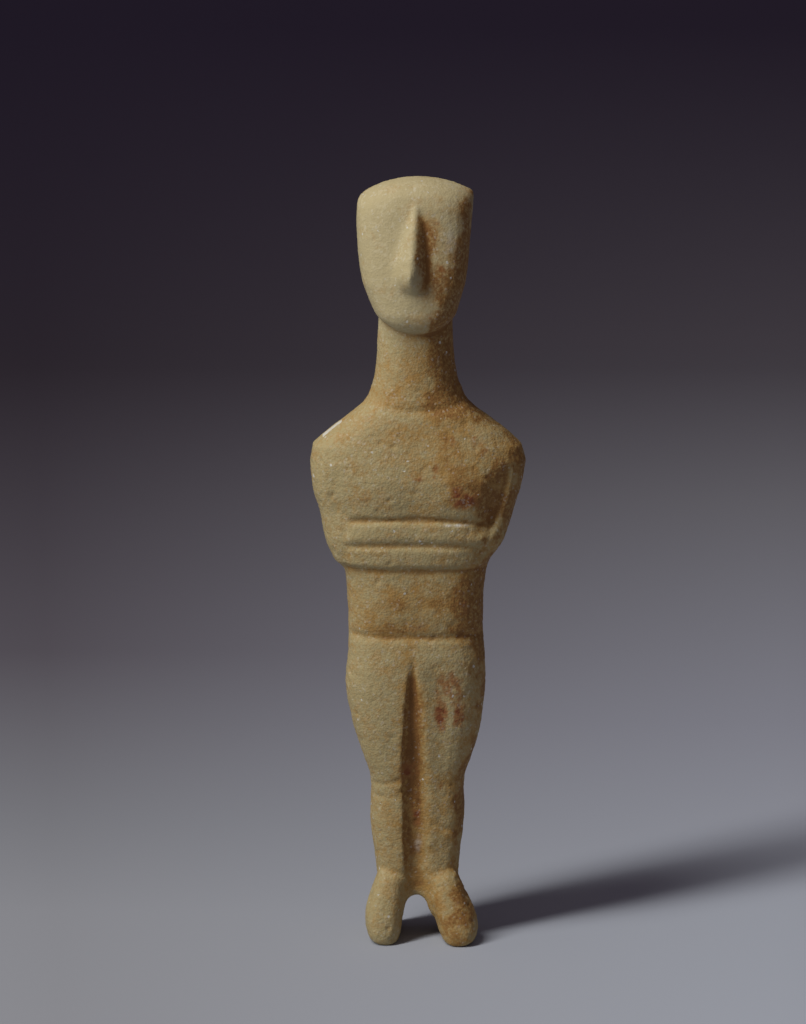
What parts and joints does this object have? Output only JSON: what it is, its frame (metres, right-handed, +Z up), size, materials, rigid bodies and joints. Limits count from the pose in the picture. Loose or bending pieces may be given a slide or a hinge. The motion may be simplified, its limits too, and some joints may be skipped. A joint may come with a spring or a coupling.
{
  "type": "cycladic figurine",
  "caption": "Standing folded-arm marble figurine with a flat shield-shaped head, a long nose and two splayed blunt feet.",
  "frame": {"origin": "on the ground, under the middle of the figure's bounding box", "axes": "+Z up from the soles to the crown, the face and folded arms look along -Y, +X is to the right of someone facing it"},
  "size_m": [0.0556, 0.0272, 0.1999],
  "materials": {
    "marble": "matt, coarse-grained cream marble with small glittering crystals and an orange-brown patina in the hollows"
  },
  "bodies": {
    "root": {"figurine": "marble"}
  },
  "joints": []
}
